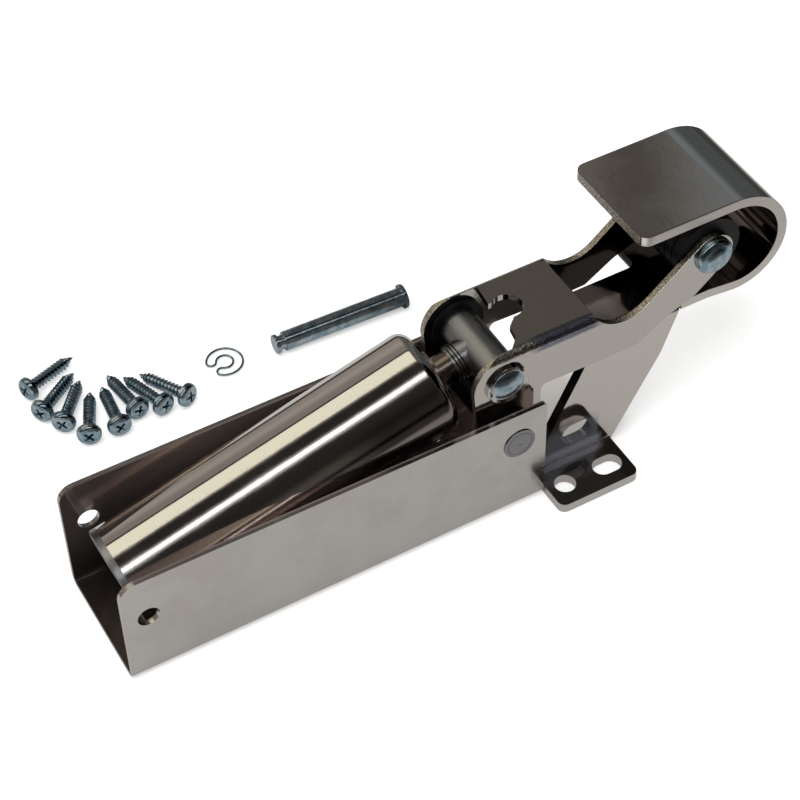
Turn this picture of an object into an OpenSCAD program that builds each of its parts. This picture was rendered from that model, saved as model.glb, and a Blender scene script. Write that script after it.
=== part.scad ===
// Hydraulic door damper: a channel chassis, an inclined damper, a forked roller lever and its catch hook.
// Millimetres. +X points to the roller end, +Z up, and the origin is the centre of the chassis's floor holes.

/* [Channel chassis] */
// Length of the channel
chassis_l = 162; // [158:1:170]
// Width over both walls
chassis_w = 50; // [49.6:0.1:52]
// Height of the walls
chassis_h = 48; // [46:0.5:50]
// Thickness of the channel's sheet
sheet_t = 2; // [1.5:0.1:2]
// Outside radius of the bends along the floor
channel_bend_r = 4; // [3:0.5:6]
// Radius of the walls' rear top corners
rear_corner_r = 6; // [3:0.5:9]
// Radius of the walls' front top corners
front_corner_r = 1.5; // [0.5:0.5:2]
// Bore for the rear clevis pin
rear_bore_d = 8; // [7.8:0.1:9]
// Height of that bore
rear_bore_z = 29.6; // [27:0.2:32]
// Distance of that bore from the rear end
rear_bore_back = 9; // [8:0.5:12]

/* [Floor holes] */
// Distance between the holes along the channel
floor_span_x = 120; // [100:1:124]
// Distance between the holes across the channel
floor_span_y = 34; // [28:0.5:34]
// Diameter of the floor holes
floor_hole_d = 5.5; // [5:0.1:6]

/* [Lever fork] */
// Thickness of the fork's sheet
fork_t = 2.5; // [2.4:0.1:2.5]
// Height of the lever's fulcrum above the base
pivot_z = 33.7; // [33.4:0.1:34]
// Distance of the fulcrum from the chassis's front end
pivot_back = 11; // [10.8:0.1:11.2]
// Diameter of the fulcrum rivet
pivot_d = 8; // [7:0.2:8.4]
// Radius of the lobes round the fulcrum
pivot_lobe_r = 13; // [12:0.5:13]
// Radius of the lobes round the rod pin
rod_lobe_r = 12.8; // [11.5:0.1:13.2]
// Outside radius of the bends along the web
fork_bend_r = 3.5; // [3:0.1:4]
// Thickness of the near side spacer
spacer_near_t = 3.2; // [2.8:0.1:3.6]
// Thickness of the far side spacer
spacer_far_t = 5.7; // [5.2:0.1:5.9]
// Radius of the keyhole notch in the web
web_notch_r = 5.6; // [5.2:0.1:7]

/* [Roller] */
// Diameter of the roller
roller_d = 26; // [24:0.2:28]
// Side play of the roller at each end
roller_play = 0.35; // [0.3:0.05:1]
// Diameter of its axle
axle_d = 8; // [6:0.2:8.4]
// Diameter of the axle's domed heads
axle_head_d = 14.4; // [12:0.2:15]
// Radius of the arms' ends
arm_end_r = 8.2; // [8:0.1:8.6]

/* [Damper] */
// Diameter of the tube
tube_d = 39; // [36:0.5:39.4]
// Wall of the tube
tube_wall = 2; // [1.5:0.1:3]
// Radius of the tube's front shoulder
shoulder_r = 4.5; // [3:0.5:6]
// Rear end of the damper behind the rod pin
damper_back = 145; // [142:0.2:146]
// Thickness of the rear cap's flange
cap_flange_t = 2.8; // [2:0.1:4]
// Front end of the tube behind the rod pin
tube_front = 18.6; // [17.6:0.1:19.5]
// Diameter of the gland collar
gland_d = 18; // [15:0.5:22]
// Diameter of the piston rod
rod_d = 11.6; // [10:0.2:12]
// Diameter of the rod pin
rod_pin_d = 8; // [7:0.2:8.4]
// Diameter of the rod eye's barrel
eye_d = 14.6; // [14:0.2:16]
// Thickness of the washers beside the barrel
eye_washer_t = 1.6; // [1:0.1:3]
// Radius of those washers
eye_washer_r = 10.2; // [9:0.1:11]

/* [Catch hook] */
// Thickness of the hook's strip
hook_t = 3.8; // [3.4:0.1:4]
// Width of the hook's top plate
hook_w = 43.6; // [40:0.5:46]
// Outside radius of the loop's upper turn
loop_up_r = 23.9; // [23.6:0.1:24.2]
// Outside radius of the loop's lower turn
loop_low_r = 19.3; // [19:0.1:19.6]
// Clearance between the roller and the top plate
roller_over = 0.4; // [0.3:0.1:1]
// Length of the hook's foot
foot_l = 33; // [32.6:0.2:33.4]
// Reach of the foot from the plate
foot_reach = 19.9; // [18:0.1:22]
// Diameter of the foot's round hole
foot_hole_d = 8; // [6:0.2:9]
// Centre-to-centre length of the foot's slot
foot_slot_c = 3.4; // [2:0.2:4]
// Corner radius of the top plate
hook_corner_r = 4; // [2:0.5:8]

/* [Fixings] */
// Length of the clevis pin under its head
clevis_l = 54; // [52:0.5:55]
// Diameter of the clevis pin
clevis_d = 7.6; // [7:0.1:7.8]
// Diameter of the clevis pin's head
clevis_head_d = 9.8; // [9:0.1:11]
// Length of the screws under the head
screw_l = 23; // [20:0.5:23.5]
// Diameter of the screws' heads
screw_head_d = 9.3; // [8:0.1:9.4]
// Diameter of the screws' shanks
screw_d = 4.4; // [4:0.1:4.6]
// Wire of the pin clip
clip_wire_d = 1.1; // [0.9:0.1:1.3]
// Radius of the pin clip's outer arc
clip_out_r = 6; // [5.8:0.1:6.5]
// Radius of the pin clip's inner arc
clip_in_r = 2.8; // [2.6:0.1:3]

/* [Hidden] */
$fn = 96;
eps = 0.01;
run = 0.05;           // radial clearance of running fits
gap = 0.3;            // clearance between bodies

rear_x = -chassis_l / 2;
front_x = chassis_l / 2;
half_w = chassis_w / 2;
inner_w = half_w - sheet_t;
rear_bore_x = rear_x + rear_bore_back;

pivot_x = front_x - pivot_back;
rod_x = pivot_x - 2.3;
rod_z = pivot_z + 26.5;
axle_x = pivot_x + 80.4;
axle_z = pivot_z + 46.4;
web_z = pivot_z + 39.3;
near_out = spacer_near_t + gap - inner_w;
near_in = near_out + fork_t;
far_out = inner_w - spacer_far_t - gap;
far_in = far_out - fork_t;
web_back = pivot_x + 5.5;
web_front = pivot_x + 34.5;

pivot_r = pivot_d / 2;
rod_pin_r = rod_pin_d / 2;
axle_r = axle_d / 2;
roller_r = roller_d / 2;

tube_r = tube_d / 2;
bore_r = tube_r - tube_wall;
gland_r = gland_d / 2;
rod_r = rod_d / 2;
floor_gap = 0.35;
tilt = asin((rod_z - sheet_t - floor_gap) / sqrt(damper_back * damper_back + tube_r * tube_r)) - atan2(tube_r, damper_back);
tube_back = damper_back - cap_flange_t;
piston_s = -damper_back + 22.6;
cap_l = 13;
cross_s = -damper_back + 9.6;

loop_x = pivot_x + 90.6;
hook_top = axle_z + roller_r + roller_over + hook_t;
loop_z = hook_top - loop_up_r;
low_x = loop_x + loop_up_r - loop_low_r;
limb_top = axle_z - 20.7;
limb_low = limb_top - hook_t;
limb_dip = 7.5;
hook_near = -16.6;
hook_tip = pivot_x + 52.3;
tongue_x = pivot_x + 36;
plate_right = pivot_x + 71.3;
foot_x = front_x + 0.5;
foot_far = hook_near - foot_reach;

screw_at = [[-59, 112.8], [-59.1, 100.1], [-54.6, 91.2], [-49.1, 80.9], [-37.8, 79.4], [-28.7, 83.7], [-19.7, 80.6], [-10.2, 80.2]];
screw_turn = [22.5, 37, 51.8, 66, 83.2, 95.8, 106.4, 116.4];

steel = [0.60, 0.58, 0.56];
zinc = [0.66, 0.69, 0.73];
black = [0.06, 0.06, 0.065];

// ---- helpers ----

// A side outline, drawn in X and Z, given a thickness from y0 to y1.
module side(y0, y1) {
    translate([0, y1, 0])
        rotate([90, 0, 0])
            linear_extrude(height = y1 - y0)
                children();
}

// A cross-section, drawn in Y and Z, run along X from x0 to x1.
module along(x0, x1) {
    translate([x0, 0, 0])
        rotate([90, 0, 90])
            linear_extrude(height = x1 - x0)
                children();
}

// A round bar or bore across the part, from y0 to y1.
module across(x, z, r, y0, y1) {
    translate([x, y0, z])
        rotate([-90, 0, 0])
            cylinder(h = y1 - y0, r = r);
}

// A ring across the part.
module cross_ring(x, z, r_out, r_in, y0, y1) {
    difference() {
        across(x, z, r_out, y0, y1);
        across(x, z, r_in, y0 - 1, y1 + 1);
    }
}

// A turned piece on the damper's axis: the outline's first value is the radius, the second the place along the axis.
module on_damper() {
    translate([rod_x, 0, rod_z])
        rotate([0, 90 - tilt, 0])
            children();
}

// A square with its corner at the origin less a circle: the filler of an inside corner turned by a quarter n.
module fillet(x, z, r, n) {
    translate([x, z])
        rotate([0, 0, 90 * n])
            difference() {
                square(r);
                translate([r, r]) circle(r);
            }
}

// A rectangle with any of its four corners rounded, from [x0, z0] to [x1, z1].
module soft_box(x0, z0, x1, z1, r_sw, r_se, r_ne, r_nw) {
    difference() {
        translate([x0, z0]) square([x1 - x0, z1 - z0]);
        if (r_sw > 0) fillet(x0, z0, r_sw, 0);
        if (r_se > 0) fillet(x1, z0, r_se, 1);
        if (r_ne > 0) fillet(x1, z1, r_ne, 2);
        if (r_nw > 0) fillet(x0, z1, r_nw, 3);
    }
}

// A slot of centre-to-centre length c along the first axis.
module slot(x, z, r, c) {
    translate([x - c / 2, z]) circle(r);
    translate([x + c / 2, z]) circle(r);
    translate([x - c / 2, z - r]) square([c, 2 * r]);
}

// A low dome on a rim: radius r, rim height rim and dome height h.
module dome(r, rim, h) {
    ball = (r * r + h * h) / (2 * h);
    rotate_extrude() {
        square([r, rim]);
        intersection() {
            translate([0, rim + h - ball]) circle(ball);
            translate([0, rim]) square([r, h]);
        }
    }
}

// ---- chassis ----

module chassis() {
    color(steel)
    difference() {
        intersection() {
            along(rear_x, front_x) channel_section();
            side(-half_w, half_w)
                soft_box(rear_x, 0, front_x, chassis_h, 0, 0, front_corner_r, rear_corner_r);
        }
        across(rear_bore_x, rear_bore_z, rear_bore_d / 2, -half_w - 1, half_w + 1);
        across(pivot_x, pivot_z, pivot_r, -half_w - 1, half_w + 1);
        for (sx = [-1, 1])
            for (sy = [-1, 1])
                translate([sx * floor_span_x / 2, sy * floor_span_y / 2, -1])
                    cylinder(h = sheet_t + 2, d = floor_hole_d, $fn = 48);
    }
}

module channel_section() {
    difference() {
        soft_box(-half_w, 0, half_w, chassis_h, channel_bend_r, channel_bend_r, 0, 0);
        soft_box(-inner_w, sheet_t, inner_w, chassis_h + 1, channel_bend_r - sheet_t + 0.01, channel_bend_r - sheet_t + 0.01, 0, 0);
    }
}

module pivot_rivet() {
    color(steel) {
        across(pivot_x, pivot_z, pivot_r, -half_w - 0.2, half_w + 0.2);
        for (s = [0, 1])
            mirror([0, s, 0])
                translate([pivot_x, half_w, pivot_z])
                    rotate([-90, 0, 0])
                        dome(6.2, 0.4, 0.3);
    }
}

module pivot_spacers() {
    color(black) {
        cross_ring(pivot_x, pivot_z, 9, pivot_r, -inner_w, near_out - gap);
        cross_ring(pivot_x, pivot_z, 9, pivot_r, far_out + gap, inner_w);
    }
}

// ---- lever ----

// One cheek's outline: fulcrum lobe, rod-pin lobe, beam, saddle, arm and eye end.
module cheek_outline() {
    arm = 40;
    saddle_r = 14;
    saddle = [pivot_x + 45.4, web_z + 6.7];
    on_saddle = saddle + saddle_r * [sin(arm), -cos(arm)];
    on_end = [axle_x, axle_z] + arm_end_r * [-sin(arm), cos(arm)];
    on_belly = [axle_x, axle_z] + arm_end_r * [sin(48), -cos(48)];
    translate([pivot_x, pivot_z]) circle(pivot_lobe_r);
    translate([rod_x, rod_z]) circle(rod_lobe_r);
    translate([axle_x, axle_z]) circle(arm_end_r);
    // the column between the two lobes
    polygon([[pivot_x - pivot_lobe_r, pivot_z], [pivot_x, pivot_z], [pivot_x + 11.6, pivot_z + 6], [pivot_x + 11.6, web_z - 4],
             [rod_x, web_z - 4], [rod_x - rod_lobe_r, rod_z]]);
    translate([pivot_x + 3.6, pivot_z + 2.6]) circle(10.5);
    // the beam, the arm and the saddle between them
    difference() {
        polygon([[rod_x, rod_z + rod_lobe_r - 3], [rod_x, web_z], [web_front, web_z], saddle, on_saddle, on_end,
                 [axle_x, axle_z], on_belly, [pivot_x + 81.3, pivot_z + 35.8], [pivot_x + 74.3, pivot_z + 29.7],
                 [pivot_x + 63.2, pivot_z + 25.2], [pivot_x + 51.4, pivot_z + 17.6], [pivot_x + 36, pivot_z + 17.2],
                 [pivot_x + 11.5, pivot_z + 18.1]]);
        translate(saddle) circle(saddle_r);
        translate([web_front, saddle[1]]) square([saddle[0] - web_front, 20]);
    }
    fillet(pivot_x + 11.6, pivot_z + 18.1, 2.5, 3);
}

// The bent sheet's section: a web with a cheek down each side.
module fork_section() {
    difference() {
        soft_box(near_out, 0, far_out, web_z, 0, 0, fork_bend_r, fork_bend_r);
        soft_box(near_in, -1, far_in, web_z - fork_t, 0, 0, fork_bend_r - fork_t + 0.01, fork_bend_r - fork_t + 0.01);
    }
}

// The web's cut-outs, seen from above: its rear edge with the keyhole notch, and the gap between the arms.
module web_cuts(far) {
    polygon([[pivot_x - 30, near_in], [pivot_x + 1, near_in], [web_back - 0.6, near_in + 4],
             [web_back + 0.4, near_in + 9.4], [web_back + 4.7, near_in + 13.2], [web_back + 4.7, near_in + 22.6],
             [web_back - 0.4, near_in + 22.2], [web_back + 0.6, far_in], [pivot_x - 30, far_in]]);
    translate([web_back + 4.7, near_in + 18.2]) circle(web_notch_r);
    translate([web_front, near_in]) square([far - web_front + 1, far_in - near_in]);
}

module lever() {
    far = axle_x + arm_end_r + 5;
    color(steel)
    difference() {
        intersection() {
            along(pivot_x - pivot_lobe_r - 5, far) fork_section();
            side(near_out, far_out) cheek_outline();
        }
        linear_extrude(height = 200) web_cuts(far);
        across(pivot_x, pivot_z, pivot_r + run, near_out - 1, far_out + 1);
        across(rod_x, rod_z, rod_pin_r, near_out - 1, far_out + 1);
        across(axle_x, axle_z, axle_r, near_out - 1, far_out + 1);
    }
    // the arms' full thickness above the bend line
    color(steel)
    for (y = [near_out, far_in])
        difference() {
            side(y, y + fork_t)
                intersection() {
                    cheek_outline();
                    translate([pivot_x + 50, 0]) square([100, 200]);
                }
            across(axle_x, axle_z, axle_r, y - 1, y + fork_t + 1);
        }
}

module pivot_tube() {
    color(black) cross_ring(pivot_x, pivot_z, 6.5, pivot_r + run, near_in, far_in);
}

// Puts a turned piece, drawn upwards from its seat, on the outside of both cheeks at [x, z].
module on_cheeks(x, z, lift = 0) {
    translate([x, far_out + lift, z]) rotate([-90, 0, 0]) children();
    translate([x, near_out - lift, z]) rotate([90, 0, 0]) children();
}

module rod_pin() {
    color(zinc) {
        across(rod_x, rod_z, rod_pin_r, near_out - 1, far_out + 1);
        on_cheeks(rod_x, rod_z, 1) dome(6, 0.2, 1.6);
    }
}

module dished_washers() {
    color(steel)
    on_cheeks(rod_x, rod_z)
        rotate_extrude()
            polygon([[rod_pin_r, 0], [8.2, 0], [8.2, 1.2], [7.6, 1.6], [6.4, 1.0], [rod_pin_r, 1.0]]);
}

module roller_axle() {
    color(zinc) {
        across(axle_x, axle_z, axle_r, near_out - 0.2, far_out + 0.2);
        on_cheeks(axle_x, axle_z) dome(axle_head_d / 2, 0.4, 2);
    }
}

module roller() {
    roller_l = far_in - near_in - 2 * roller_play;
    color(black)
    translate([axle_x, near_in + roller_play, axle_z])
        rotate([-90, 0, 0])
            rotate_extrude()
                difference() {
                    translate([axle_r + 2, 0]) square([roller_r - axle_r - 2, roller_l]);
                    for (i = [1 : 7])
                        translate([roller_r - 0.35, i * roller_l / 8 - 0.3]) square([1, 0.6]);
                }
}

module roller_bush() {
    color(steel)
    cross_ring(axle_x, axle_z, axle_r + 2, axle_r + run, near_in + roller_play - 0.1, far_in - roller_play + 0.1);
}

// ---- damper ----

module rod_eye() {
    side_gap = gap + eye_washer_t;
    color(zinc)
    difference() {
        union() {
            across(rod_x, rod_z, eye_d / 2, near_in + side_gap, far_in - side_gap);
            on_damper() translate([0, 0, -11]) cylinder(h = 11, r = rod_r + 0.7);
        }
        across(rod_x, rod_z, rod_pin_r + run, near_in - 1, far_in + 1);
        on_damper() translate([0, 0, -13]) cylinder(h = 6, r = rod_r);
    }
}

module eye_washers() {
    color(black) {
        cross_ring(rod_x, rod_z, eye_washer_r, rod_pin_r + run, near_in + gap, near_in + gap + eye_washer_t);
        cross_ring(rod_x, rod_z, eye_washer_r, rod_pin_r + run, far_in - gap - eye_washer_t, far_in - gap);
    }
}

module piston_rod() {
    color([0.35, 0.30, 0.26])
    on_damper() translate([0, 0, piston_s - 2]) cylinder(h = -piston_s + 2 - 7, r = rod_r);
}

module piston() {
    color(zinc)
    on_damper()
        rotate_extrude()
            difference() {
                translate([rod_r, piston_s]) square([bore_r - run - rod_r, 12]);
                translate([bore_r - 3, piston_s + 4]) square([4, 4]);
            }
}

module piston_seal() {
    color(black)
    on_damper()
        rotate_extrude()
            translate([bore_r - 3, piston_s + 4]) square([3 - run, 4]);
}

module damper_tube() {
    color([0.72, 0.68, 0.62])
    difference() {
        on_damper()
            rotate_extrude()
                difference() {
                    soft_box(0, -tube_back, tube_r, -tube_front, 0, 0, shoulder_r, 0);
                    translate([-1, -tube_back - 1]) square([bore_r + 1, tube_back + 1 - tube_front - 9]);
                    translate([-1, -tube_front - 20]) square([gland_r + 1, 40]);
                }
        damper_cross_bore();
    }
}

module damper_cross_bore() {
    translate([rod_x, 0, rod_z])
        rotate([0, 90 - tilt, 0])
            translate([0, 0, cross_s])
                rotate([-90, 0, 0])
                    cylinder(h = 2 * tube_r + 2, d = rear_bore_d, center = true);
}

module gland_collar() {
    color([0.30, 0.26, 0.23])
    on_damper()
        rotate_extrude() {
            translate([rod_r + run, -tube_front - 9]) square([gland_r - rod_r - run, 10.8]);
            translate([rod_r + run, -tube_front - 12]) square([gland_r + 3 - rod_r - run, 3]);
        }
}

module rod_seal() {
    color(black)
    on_damper()
        rotate_extrude()
            translate([rod_r + run, -tube_front - 16]) square([gland_r + 3 - rod_r - run, 4]);
}

// A plug in the tube's rear end, under a flange of the tube's own diameter.
module rear_cap() {
    color(zinc)
    difference() {
        on_damper()
            rotate_extrude() {
                soft_box(0, -damper_back, tube_r, -tube_back, 0, 0.6, 0, 0);
                translate([0, -tube_back]) square([bore_r, cap_l]);
            }
        damper_cross_bore();
    }
}

// ---- catch hook ----

// Two quarter turns, the upper one wider, tangent to each other at the front; shrunk by in, they give the inside.
module loop_turn(in) {
    intersection() {
        translate([loop_x, loop_z]) circle(loop_up_r - in, $fn = 144);
        translate([loop_x, loop_z]) square(50);
    }
    intersection() {
        translate([low_x, loop_z]) circle(loop_low_r - in, $fn = 144);
        translate([low_x, loop_z])
            union() {
                translate([0, -50]) square([50, 50]);
                rotate(-limb_dip) translate([0, -50]) square([50, 50]);
            }
    }
}

// The loop's outline: top plate, turn, dip and limb.
module loop_outline() {
    c = cos(limb_dip);
    s = sin(limb_dip);
    dip = [low_x - loop_low_r * s, loop_z - loop_low_r * c];
    rise_x = dip[0] - (limb_low - dip[1]) / tan(limb_dip);
    difference() {
        loop_turn(0);
        loop_turn(hook_t);
    }
    translate([hook_tip, hook_top - hook_t]) square([loop_x - hook_tip, hook_t]);
    polygon([dip, dip + hook_t * [s, c], [rise_x + hook_t * tan(limb_dip / 2), limb_top],
             [tongue_x, limb_top], [tongue_x, limb_low], [rise_x, limb_low]]);
}

// What is kept of the loop, seen from above: the top plate's rounded tip and the full width of the turn.
module top_plan() {
    soft_box(hook_tip, hook_near, loop_x + loop_up_r + 1, hook_near + hook_w, hook_corner_r, 0, 0, hook_corner_r);
}

// What is kept of the limb, seen from above: full width by the turn, then the tongue between the arms.
module limb_plan() {
    bend = 5;
    near = hook_near + bend;
    difference() {
        union() {
            soft_box(plate_right - 3.8, near - 1, loop_x + loop_up_r + 1, hook_near + hook_w, 0, 0, 0, 2);
            translate([tongue_x, near]) square([60, 7 - near]);
            translate([plate_right, hook_near]) square([loop_x + loop_up_r + 1 - plate_right, bend + 1]);
            fillet(plate_right - 3.8, 7, 3, 1);
        }
        fillet(tongue_x, 7, 4, 3);
    }
}

// The bent strip's section: limb edge, plate and foot.
module strip_section() {
    bend = 5;
    difference() {
        soft_box(hook_near, 0, hook_near + bend + 0.5, limb_top, 0, 0, 0, bend);
        translate([hook_near + hook_t, hook_t + 2]) soft_box(0, 0, 20, limb_low - hook_t - 2, 0, 0, 0, bend - hook_t);
        translate([hook_near + hook_t, -1]) square([20, hook_t + 10]);
        fillet(hook_near + hook_t, 0, bend, 1);
    }
    translate([foot_far, 0]) square([foot_reach + 0.01, hook_t]);
    fillet(hook_near, hook_t, bend - hook_t, 1);
}

// The plate seen from the side: upright, and leaning forward as it rises.
module plate_outline() {
    difference() {
        polygon([[foot_x, 0], [foot_x + foot_l, 0], [foot_x + foot_l + 1.5, 4], [front_x + 53.3, 37.6], [plate_right, limb_top - 2],
                 [plate_right, limb_top], [tongue_x, limb_top], [tongue_x - 0.6, limb_low], [front_x + 18.3, 42], [front_x + 6, 16.5], [foot_x, 6]]);
        slot(front_x + 19.2, 14.6, 4.8, 3.6);
    }
}

module foot_plan() {
    difference() {
        soft_box(foot_x, foot_far, foot_x + foot_l, hook_near + 20, 3, 3, 0, 0);
        translate([front_x + 7.4, foot_far + 8.9]) circle(d = foot_hole_d);
        slot(front_x + 25.3, foot_far + 8.9, foot_hole_d / 2, foot_slot_c);
    }
}

module hook() {
    color(steel) {
        intersection() {
            side(hook_near, hook_near + hook_w) loop_outline();
            union() {
                translate([0, 0, limb_top + 1]) linear_extrude(height = 60) top_plan();
                linear_extrude(height = limb_top + 1 + eps) limb_plan();
            }
        }
        intersection() {
            along(foot_x, plate_right) strip_section();
            side(foot_far - 1, hook_near + 8) plate_outline();
            union() {
                linear_extrude(height = 6) foot_plan();
                translate([0, hook_near - 4, 5.9]) cube([300, 20, 80]);
                translate([foot_x, hook_near - 0.01, 0]) cube([foot_l + 5, 20, 6]);
            }
        }
    }
}

// ---- loose fixings ----

module clevis_pin() {
    r = clevis_d / 2;
    head_r = clevis_head_d / 2;
    color(zinc)
    translate([84.3, 84, head_r + 0.05])
        rotate([0, 90 + asin((head_r - r) / clevis_l), 176.9])
            rotate_extrude() {
                soft_box(0, -1.6, head_r, 0, 0, 0.6, 0, 0);
                square([r, clevis_l - 4]);
                translate([0, clevis_l - 5]) square([r - 1, 4]);
                soft_box(0, clevis_l - 1.6, r, clevis_l, 0, 0, 0.5, 0);
            }
}

// Points on an arc about [x, y], from angle a0 to angle a1 in n steps.
function arc(x, y, r, a0, a1, n) = [for (i = [0 : n]) [x + r * cos(a0 + (a1 - a0) * i / n), y + r * sin(a0 + (a1 - a0) * i / n)]];

// One edge of the clip's wire: an outer and an inner arc joined by a half turn at each end. Side is 1 outside, -1 inside.
function clip_edge(out_r, in_r, sweep, w) =
    let (mid = (out_r + in_r) / 2, turn = (out_r - in_r) / 2 + w)
    concat(arc(0, 0, out_r + w, 0, sweep, 40),
           arc(mid * cos(sweep), mid * sin(sweep), turn, sweep + 15, sweep + 165, 10),
           arc(0, 0, in_r - w, sweep, 0, 24),
           arc(mid, 0, turn, 195, 345, 10));

module pin_clip() {
    sweep = 284;
    color(zinc)
    translate([11.4, 92.5, 0.05])
        rotate([0, 0, 195 + (360 - sweep) / 2])
            linear_extrude(height = clip_wire_d)
                difference() {
                    polygon(clip_edge(clip_out_r, clip_in_r, sweep, clip_wire_d / 2));
                    polygon(clip_edge(clip_out_r, clip_in_r, sweep, -clip_wire_d / 2));
                }
}

module fixing_screws() {
    color(zinc)
    for (i = [0 : 7])
        translate([screw_at[i][0], screw_at[i][1], screw_head_d / 2 + 0.05])
            rotate([0, 0, screw_turn[i]])
                rotate([0, 90 + 5.6, 0])
                    screw();
}

// A pan-head tapping screw with its head's seat at the origin and its point along +Z.
module screw() {
    r = screw_d / 2;
    rotate_extrude($fn = 48) {
        soft_box(0, -2.8, screw_head_d / 2, 0, 0, 1.6, 0, 0);
        polygon([[0, -0.1], [r, -0.1], [r, screw_l - 5], [0.4, screw_l], [0, screw_l]]);
    }
}

chassis();
pivot_rivet();
pivot_spacers();
lever();
pivot_tube();
rod_pin();
dished_washers();
roller_axle();
roller();
roller_bush();
rod_eye();
eye_washers();
piston_rod();
piston();
piston_seal();
damper_tube();
gland_collar();
rod_seal();
rear_cap();
hook();
clevis_pin();
pin_clip();
fixing_screws();
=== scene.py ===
# %% [markdown]
# The door damper's solids come from CAD, and this script dresses them. It gives them finishes, light and a camera,
# and makes the small pieces that plain solids can't show. Loading the frame puts every solid where it belongs,
# in metres, so that nothing has to be fitted by eye.

# %% Load the frame
import math
import bmesh
import bpy
from mathutils import Matrix, Vector


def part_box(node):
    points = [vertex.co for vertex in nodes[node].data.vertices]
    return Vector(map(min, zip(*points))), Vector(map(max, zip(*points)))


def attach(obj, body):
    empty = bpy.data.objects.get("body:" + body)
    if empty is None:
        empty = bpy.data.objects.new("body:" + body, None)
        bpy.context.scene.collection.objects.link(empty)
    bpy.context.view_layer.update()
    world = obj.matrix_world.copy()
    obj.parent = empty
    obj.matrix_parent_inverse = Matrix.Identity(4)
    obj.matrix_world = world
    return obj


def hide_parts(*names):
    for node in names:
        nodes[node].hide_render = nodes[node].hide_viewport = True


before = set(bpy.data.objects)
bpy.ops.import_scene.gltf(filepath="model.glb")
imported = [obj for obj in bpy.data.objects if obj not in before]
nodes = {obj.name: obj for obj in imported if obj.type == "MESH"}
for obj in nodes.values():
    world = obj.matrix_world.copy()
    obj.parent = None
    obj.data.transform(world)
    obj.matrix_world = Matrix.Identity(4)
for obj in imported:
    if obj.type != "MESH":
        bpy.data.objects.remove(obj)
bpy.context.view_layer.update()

scene = bpy.context.scene
bpy.ops.object.select_all(action="DESELECT")

# %% [markdown]
# The camera looks down on the device from the rear left, at about 47 degrees.
# A camera is placed with three unit vectors: right, up and back. They are the columns of its matrix,
# which is plainer than chasing three Euler angles. A long lens keeps the channel's edges nearly parallel.

# %% Camera
AZIMUTH, ELEVATION, ROLL = -0.499363, 0.825881, -0.024742
CAMERA_AT = Vector((-0.206179, -0.445772, 0.601127))
LENS = 98.441

right = Vector((math.cos(AZIMUTH), math.sin(AZIMUTH), 0))
back = Vector((math.sin(AZIMUTH) * math.cos(ELEVATION), -math.cos(AZIMUTH) * math.cos(ELEVATION),
               math.sin(ELEVATION)))
up = back.cross(right)
rolled_right = math.cos(ROLL) * right + math.sin(ROLL) * up
rolled_up = math.cos(ROLL) * up - math.sin(ROLL) * right
camera_data = bpy.data.cameras.new("camera")
camera_data.lens = LENS
camera_data.clip_end = 10
camera = bpy.data.objects.new("camera", camera_data)
columns = Matrix((rolled_right, rolled_up, back)).transposed()
camera.matrix_world = Matrix.Translation(CAMERA_AT) @ columns.to_4x4()
scene.collection.objects.link(camera)
scene.camera = camera
scene.view_settings.view_transform = "Standard"
print("camera at", tuple(round(v, 3) for v in CAMERA_AT))

# %% [markdown]
# Every shader here is a tree of nodes. They could be wired up one by one, but the wires would bury the idea, so
# a single function adds any node: its settings are made first, because they decide which inputs it has,
# and then each input gets a number, a colour or a link.

# %% Adding a node
def feed(node, sockets):
    """Gives inputs, by name or by number, a plain value, another node's output or a Val."""
    for key, item in sockets.items():
        if isinstance(key, int):
            slot = node.inputs[key]
        else:
            slot = next(s for s in node.inputs if s.name == key and s.enabled)
        item = item.socket if isinstance(item, Val) else item
        if isinstance(item, bpy.types.NodeSocket):
            node.id_data.links.new(item, slot)
        else:
            slot.default_value = (*item, 1) if slot.type == "RGBA" else item


def add_node(tree, kind, settings=None, sockets=None):
    node = tree.nodes.new("ShaderNode" + kind)
    for name, setting in (settings or {}).items():
        setattr(node, name, setting)
    feed(node, sockets or {})
    return node


print("nodes can be added")

# %% [markdown]
# Masks are easier to read as sums than as boxes and wires. The class below wraps an output socket, so that
# a + b or 0.5 * a adds a Math node and hands back its output. A ramp is a soft step, and a band is two of them
# back to back: nearly every mask in this script is a product of bands.

# %% Shader maths
class Val:
    """One number that changes over a surface or with a direction."""

    def __init__(self, tree, socket):
        self.tree, self.socket = tree, socket

    def __add__(self, other): return maths("ADD", self, other)
    def __radd__(self, other): return maths("ADD", other, self)
    def __sub__(self, other): return maths("SUBTRACT", self, other)
    def __rsub__(self, other): return maths("SUBTRACT", other, self)
    def __mul__(self, other): return maths("MULTIPLY", self, other)
    def __rmul__(self, other): return maths("MULTIPLY", other, self)
    def __neg__(self): return maths("MULTIPLY", self, -1)
    def __abs__(self): return maths("ABSOLUTE", self)

    def clamp(self):
        """Keeps a sum of masks between 0 and 1."""
        return maths("ADD", self, 0, clamp=True)

    def ramp(self, none, full):
        """0 up to none and 1 from full, smooth between. It falls where none is the larger number."""
        node = add_node(self.tree, "MapRange", {"interpolation_type": "SMOOTHSTEP"}, {
            "Value": self, "From Min": min(none, full), "From Max": max(none, full),
            "To Min": int(none > full), "To Max": int(none < full)})
        return Val(self.tree, node.outputs[0])

    def band(self, low, high, soft):
        """1 between low and high, with edges that are twice soft wide."""
        return self.ramp(low - soft, low + soft) * self.ramp(high + soft, high - soft)


def maths(operation, *items, clamp=False):
    """Adds a Math node, whose inputs are the items in their order."""
    tree = next(item.tree for item in items if isinstance(item, Val))
    node = add_node(tree, "Math", {"operation": operation, "use_clamp": clamp}, dict(enumerate(items)))
    return Val(tree, node.outputs[0])


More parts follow.
